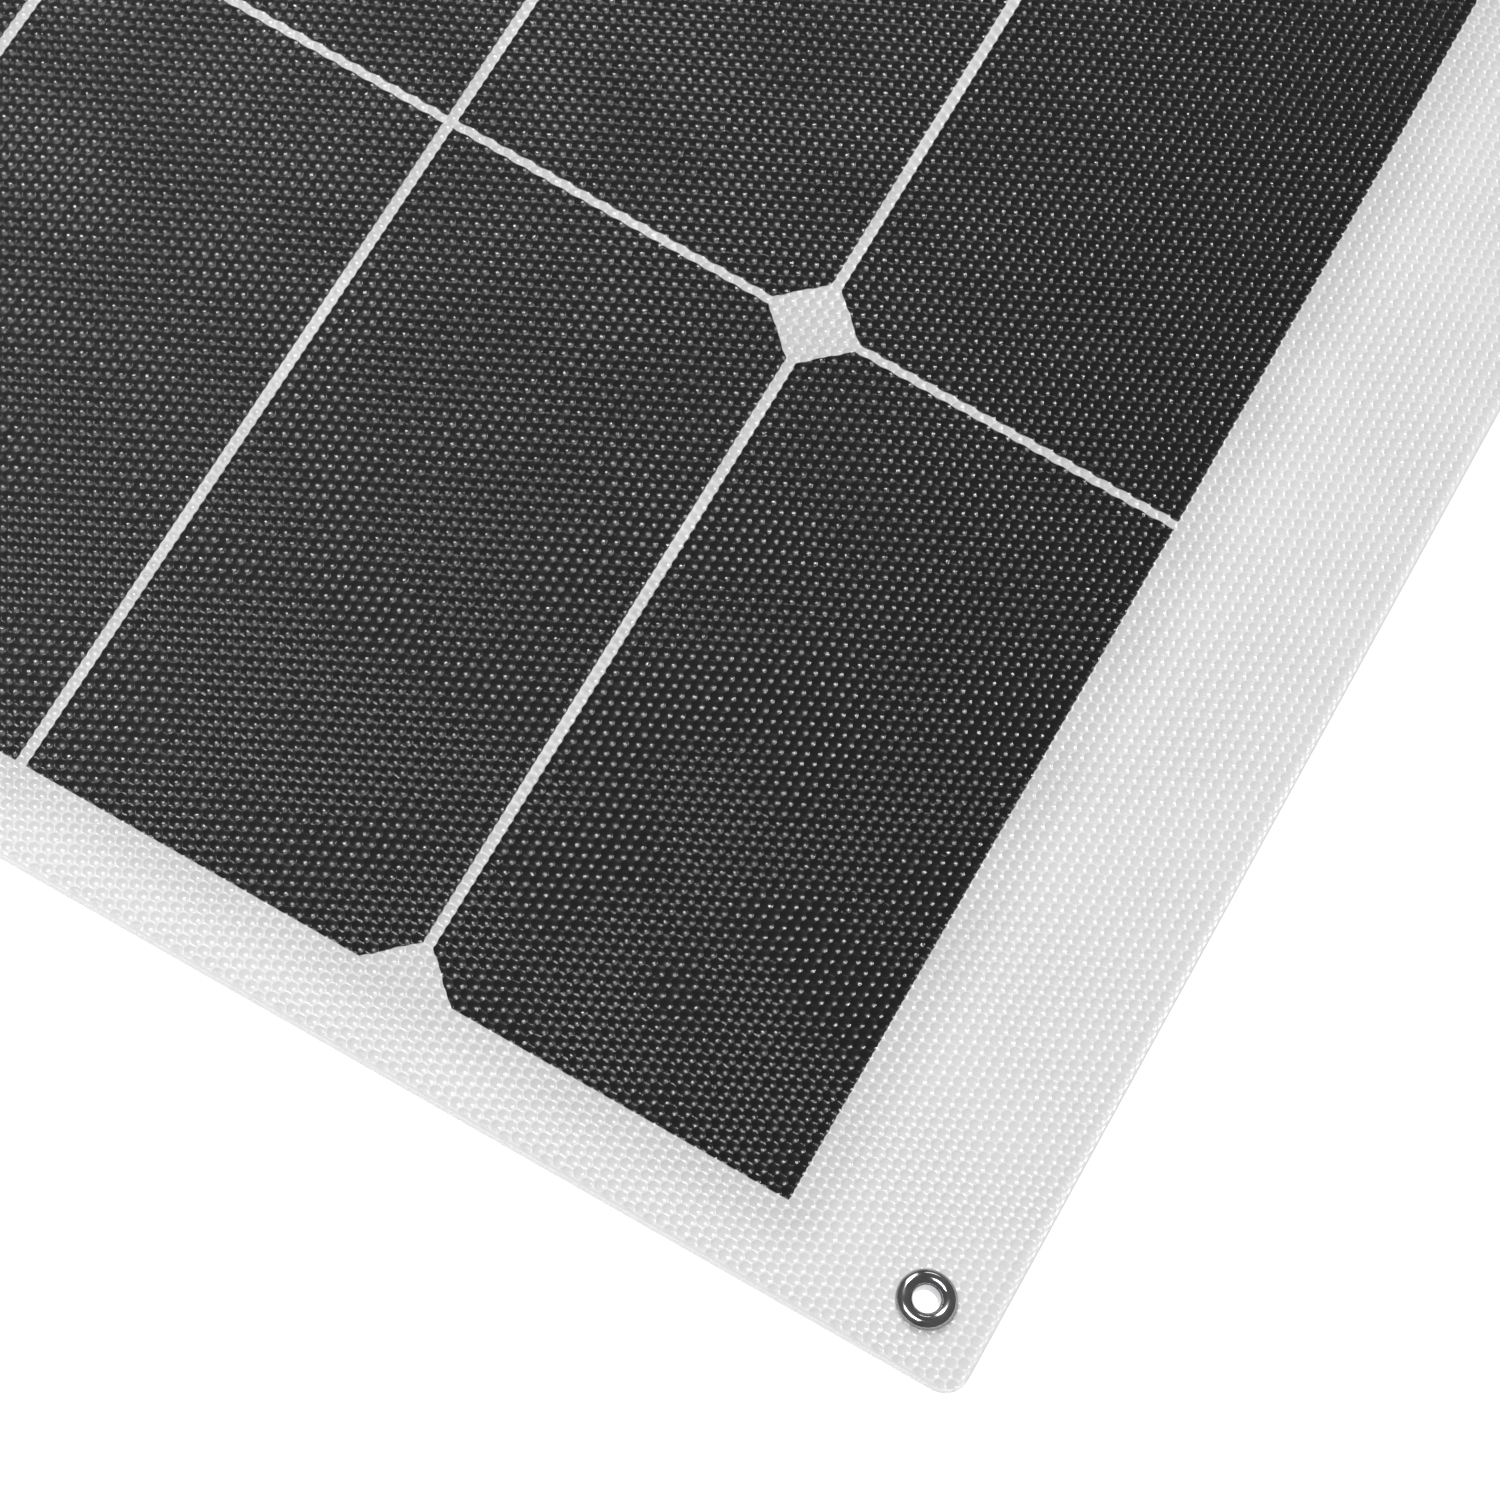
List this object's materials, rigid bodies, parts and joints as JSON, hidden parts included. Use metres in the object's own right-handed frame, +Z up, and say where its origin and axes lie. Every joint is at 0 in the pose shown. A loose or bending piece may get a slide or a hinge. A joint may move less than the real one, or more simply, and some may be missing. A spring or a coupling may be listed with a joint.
{
  "type": "flexible solar sheet",
  "caption": "Thin bendable solar sheet of dark half cells between a white backing and a clear embossed film, with corner eyelets and a slim junction box.",
  "frame": {"origin": "under the middle of the sheet, on the face it lies on", "axes": "+X along the strings of cells, from the junction box end to the plain end; +Y across the strings; +Z up, out of the front of the sheet"},
  "size_m": [0.7298, 0.6674, 0.0188],
  "materials": {
    "backing": "white laminated back sheet, fine woven emboss",
    "film": "clear film embossed with small staggered dimples",
    "cell": "dark silicon, slightly blue-black",
    "ribbon": "tinned copper ribbon",
    "eyelet": "polished dark nickel plating",
    "junction_box": "black fine spark-eroded texture",
    "terminal": "tinned copper",
    "diode": "moulded black epoxy with tinned leads"
  },
  "bodies": {
    "middle": {"backing_middle": "backing", "film_middle": "film", "cell_column4_row1": "cell", "cell_column4_row2": "cell", "cell_column4_row3": "cell", "cell_column4_row4": "cell", "cell_column5_row1": "cell", "cell_column5_row2": "cell", "cell_column5_row3": "cell", "cell_column5_row4": "cell"},
    "left_inner": {"backing_left_inner": "backing", "film_left_inner": "film", "cell_column2_row1": "cell", "cell_column2_row2": "cell", "cell_column2_row3": "cell", "cell_column2_row4": "cell", "cell_column3_row1": "cell", "cell_column3_row2": "cell", "cell_column3_row3": "cell", "cell_column3_row4": "cell"},
    "left_end": {"backing_left_end": "backing", "film_left_end": "film", "cell_column1_row1": "cell", "cell_column1_row2": "cell", "cell_column1_row3": "cell", "cell_column1_row4": "cell", "eyelet_left_lower": "eyelet", "eyelet_washer_left_lower": "eyelet", "eyelet_left_upper": "eyelet", "eyelet_washer_left_upper": "eyelet", "bus_ribbon_left_middle": "ribbon", "lead_ribbon_lower": "ribbon", "lead_ribbon_upper": "ribbon", "junction_box_base": "junction_box", "bypass_diode": "diode", "terminal_negative": "terminal", "terminal_positive": "terminal"},
    "right_inner": {"backing_right_inner": "backing", "film_right_inner": "film", "cell_column6_row1": "cell", "cell_column6_row2": "cell", "cell_column6_row3": "cell", "cell_column6_row4": "cell", "cell_column7_row1": "cell", "cell_column7_row2": "cell", "cell_column7_row3": "cell", "cell_column7_row4": "cell"},
    "right_end": {"backing_right_end": "backing", "film_right_end": "film", "cell_column8_row1": "cell", "cell_column8_row2": "cell", "cell_column8_row3": "cell", "cell_column8_row4": "cell", "eyelet_right_lower": "eyelet", "eyelet_washer_right_lower": "eyelet", "eyelet_right_upper": "eyelet", "eyelet_washer_right_upper": "eyelet", "bus_ribbon_right_lower": "ribbon", "bus_ribbon_right_upper": "ribbon"},
    "box_lid": {"junction_box_lid": "junction_box"}
  },
  "joints": [
    {"name": "right_inner_bend", "type": "hinge", "parent": "middle", "child": "right_inner", "pos_m": [0.08057, 0, 0.00125], "axis": [0, -1, 0], "range_deg": [0, 7.5], "stiffness_Nm_per_rad": 20},
    {"name": "right_end_bend", "type": "hinge", "parent": "right_inner", "child": "right_end", "pos_m": [0.24172, 0, 0.00125], "axis": [0, -1, 0], "range_deg": [0, 7.5], "stiffness_Nm_per_rad": 20},
    {"name": "left_inner_bend", "type": "hinge", "parent": "middle", "child": "left_inner", "pos_m": [-0.08057, 0, 0.00125], "axis": [0, 1, 0], "range_deg": [0, 7.5], "stiffness_Nm_per_rad": 20},
    {"name": "left_end_bend", "type": "hinge", "parent": "left_inner", "child": "left_end", "pos_m": [-0.24172, 0, 0.00125], "axis": [0, 1, 0], "range_deg": [0, 7.5], "stiffness_Nm_per_rad": 20},
    {"name": "lid_hinge", "type": "hinge", "parent": "left_end", "child": "box_lid", "pos_m": [-0.36025, 0, 0.0166], "axis": [0, -1, 0], "range_deg": [0, 110]}
  ],
  "couplings": [
    {"joint": "right_end_bend", "follows": "right_inner_bend", "ratio": 1},
    {"joint": "left_end_bend", "follows": "left_inner_bend", "ratio": 1}
  ]
}
